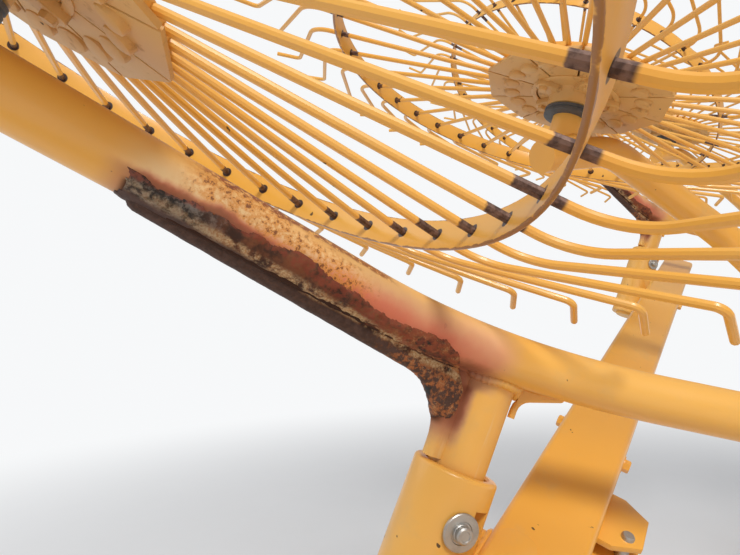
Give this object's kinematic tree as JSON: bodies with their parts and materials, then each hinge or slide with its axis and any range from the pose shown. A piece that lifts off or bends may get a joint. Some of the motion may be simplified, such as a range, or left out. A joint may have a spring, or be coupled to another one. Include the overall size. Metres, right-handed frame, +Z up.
{
  "type": "wheel rake",
  "caption": "Carted V-rake folded for transport: tined raking wheels on bent rocker tubes, sleeved to box booms that hinge on a wheeled cart with a jack.",
  "frame": {"origin": "centre of the hitch pin hole at the front of the drawbar; the ground is 0.45 m below it", "axes": "+X forward in the direction of travel, +Y to the left, +Z up along the hitch pin"},
  "size_m": [5.907, 3.601, 2.9001],
  "materials": {
    "yellow_paint": "weathered orange-yellow gloss paint",
    "dusty_paint": "dusty orange-yellow paint",
    "rim_paint": "off-white enamel",
    "black_paint": "satin black paint",
    "zinc_steel": "dull zinc plating",
    "chrome_rod": "polished hard chrome",
    "tyre_rubber": "dusty black rubber"
  },
  "bodies": {
    "frame": {"crossbeam": "yellow_paint", "spine": "yellow_paint", "drawbar": "yellow_paint", "hitch_clevis": "yellow_paint", "jack_tube": "yellow_paint", "hinge_post_left": "yellow_paint", "hinge_post_right": "yellow_paint", "axle_leg_left": "yellow_paint", "axle_leg_right": "yellow_paint"},
    "jack_leg": {"jack_leg": "zinc_steel"},
    "boom_left": {"boom_beam_left": "yellow_paint", "boom_sleeves_left": "yellow_paint", "boom_arm_left": "yellow_paint"},
    "cylinder_left": {"cylinder_barrel_left": "black_paint"},
    "cylinder_rod_left": {"cylinder_rod_left": "chrome_rod"},
    "rocker_1_left": {"rocker_1_left": "yellow_paint", "stop_bolt_1_left": "zinc_steel"},
    "rake_wheel_1_left": {"rake_wheel_1_left": "yellow_paint", "rake_hub_1_left": "dusty_paint"},
    "rake_wheel_2_left": {"rake_wheel_2_left": "yellow_paint", "rake_hub_2_left": "dusty_paint"},
    "rocker_2_left": {"rocker_2_left": "yellow_paint", "stop_bolt_2_left": "zinc_steel"},
    "rake_wheel_3_left": {"rake_wheel_3_left": "yellow_paint", "rake_hub_3_left": "dusty_paint"},
    "rake_wheel_4_left": {"rake_wheel_4_left": "yellow_paint", "rake_hub_4_left": "dusty_paint"},
    "road_wheel_left": {"tyre_left": "tyre_rubber", "road_rim_left": "rim_paint"},
    "boom_right": {"boom_beam_right": "yellow_paint", "boom_sleeves_right": "yellow_paint", "boom_arm_right": "yellow_paint"},
    "cylinder_right": {"cylinder_barrel_right": "black_paint"},
    "cylinder_rod_right": {"cylinder_rod_right": "chrome_rod"},
    "rocker_1_right": {"rocker_1_right": "yellow_paint", "stop_bolt_1_right": "zinc_steel"},
    "rake_wheel_1_right": {"rake_wheel_1_right": "yellow_paint", "rake_hub_1_right": "dusty_paint"},
    "rake_wheel_2_right": {"rake_wheel_2_right": "yellow_paint", "rake_hub_2_right": "dusty_paint"},
    "rocker_2_right": {"rocker_2_right": "yellow_paint", "stop_bolt_2_right": "zinc_steel"},
    "rake_wheel_3_right": {"rake_wheel_3_right": "yellow_paint", "rake_hub_3_right": "dusty_paint"},
    "rake_wheel_4_right": {"rake_wheel_4_right": "yellow_paint", "rake_hub_4_right": "dusty_paint"},
    "road_wheel_right": {"tyre_right": "tyre_rubber", "road_rim_right": "rim_paint"}
  },
  "joints": [
    {"name": "jack_slide", "type": "slide", "parent": "frame", "child": "jack_leg", "axis": [0, 0, 1], "range_m": [0, 0.28]},
    {"name": "fold_left", "type": "hinge", "parent": "frame", "child": "boom_left", "pos_m": [-5.33138, 1.44945, 0.4503], "axis": [0.7943, 0.3874, 0.4679], "range_deg": [0, 77.6]},
    {"name": "cylinder_swing_left", "type": "hinge", "parent": "frame", "child": "cylinder_left", "pos_m": [-5.56726, 1.27653, 0.76949], "axis": [0.7943, 0.3874, 0.4679], "range_deg": [0, 38.8]},
    {"name": "cylinder_slide_left", "type": "slide", "parent": "cylinder_left", "child": "cylinder_rod_left", "axis": [0.6072, -0.5292, -0.5927], "range_m": [0, 0.32534]},
    {"name": "rocker_pivot_1_left", "type": "hinge", "parent": "boom_left", "child": "rocker_1_left", "pos_m": [-4.10873, 0.84423, 1.11768], "axis": [0.2737, -0.2932, 0.916], "range_deg": [0, 28.6]},
    {"name": "rake_spin_1_left", "type": "hinge", "parent": "rocker_1_left", "child": "rake_wheel_1_left", "pos_m": [-4.66036, 1.05591, 1.55769], "axis": [0.3656, -0.3675, 0.8551], "continuous": true},
    {"name": "rake_spin_2_left", "type": "hinge", "parent": "rocker_1_left", "child": "rake_wheel_2_left", "pos_m": [-3.6727, 0.80019, 1.66322], "axis": [0.1693, -0.274, 0.9467], "continuous": true},
    {"name": "rocker_pivot_2_left", "type": "hinge", "parent": "boom_left", "child": "rocker_2_left", "pos_m": [-2.06827, 0.84423, 1.57004], "axis": [0.2737, -0.2932, 0.916], "range_deg": [0, 28.6]},
    {"name": "rake_spin_3_left", "type": "hinge", "parent": "rocker_2_left", "child": "rake_wheel_3_left", "pos_m": [-2.6199, 1.05591, 2.01005], "axis": [0.3656, -0.3675, 0.8551], "continuous": true},
    {"name": "rake_spin_4_left", "type": "hinge", "parent": "rocker_2_left", "child": "rake_wheel_4_left", "pos_m": [-1.63224, 0.80019, 2.11558], "axis": [0.1693, -0.274, 0.9467], "continuous": true},
    {"name": "road_spin_left", "type": "hinge", "parent": "frame", "child": "road_wheel_left", "pos_m": [-5.527, 0.72, -0.12], "axis": [0, 1, 0], "continuous": true},
    {"name": "fold_right", "type": "hinge", "parent": "frame", "child": "boom_right", "pos_m": [-5.33138, -1.44945, 0.4503], "axis": [-0.7943, 0.3874, -0.4679], "range_deg": [0, 77.6]},
    {"name": "cylinder_swing_right", "type": "hinge", "parent": "frame", "child": "cylinder_right", "pos_m": [-5.56726, -1.27653, 0.76949], "axis": [-0.7943, 0.3874, -0.4679], "range_deg": [0, 38.8]},
    {"name": "cylinder_slide_right", "type": "slide", "parent": "cylinder_right", "child": "cylinder_rod_right", "axis": [0.6072, 0.5292, -0.5927], "range_m": [0, 0.32534]},
    {"name": "rocker_pivot_1_right", "type": "hinge", "parent": "boom_right", "child": "rocker_1_right", "pos_m": [-4.10873, -0.84423, 1.11768], "axis": [-0.2737, -0.2932, -0.916], "range_deg": [0, 28.6]},
    {"name": "rake_spin_1_right", "type": "hinge", "parent": "rocker_1_right", "child": "rake_wheel_1_right", "pos_m": [-4.66036, -1.05591, 1.55769], "axis": [-0.3656, -0.3675, -0.8551], "continuous": true},
    {"name": "rake_spin_2_right", "type": "hinge", "parent": "rocker_1_right", "child": "rake_wheel_2_right", "pos_m": [-3.6727, -0.80019, 1.66322], "axis": [-0.1693, -0.274, -0.9467], "continuous": true},
    {"name": "rocker_pivot_2_right", "type": "hinge", "parent": "boom_right", "child": "rocker_2_right", "pos_m": [-2.06827, -0.84423, 1.57004], "axis": [-0.2737, -0.2932, -0.916], "range_deg": [0, 28.6]},
    {"name": "rake_spin_3_right", "type": "hinge", "parent": "rocker_2_right", "child": "rake_wheel_3_right", "pos_m": [-2.6199, -1.05591, 2.01005], "axis": [-0.3656, -0.3675, -0.8551], "continuous": true},
    {"name": "rake_spin_4_right", "type": "hinge", "parent": "rocker_2_right", "child": "rake_wheel_4_right", "pos_m": [-1.63224, -0.80019, 2.11558], "axis": [-0.1693, -0.274, -0.9467], "continuous": true},
    {"name": "road_spin_right", "type": "hinge", "parent": "frame", "child": "road_wheel_right", "pos_m": [-5.527, -0.72, -0.12], "axis": [0, 1, 0], "continuous": true}
  ],
  "couplings": [
    {"joint": "cylinder_swing_left", "follows": "fold_left", "ratio": 0.5},
    {"joint": "cylinder_slide_left", "follows": "fold_left", "m_per_rad": 0.23985},
    {"joint": "cylinder_swing_right", "follows": "fold_right", "ratio": 0.5},
    {"joint": "cylinder_slide_right", "follows": "fold_right", "m_per_rad": 0.23985}
  ]
}
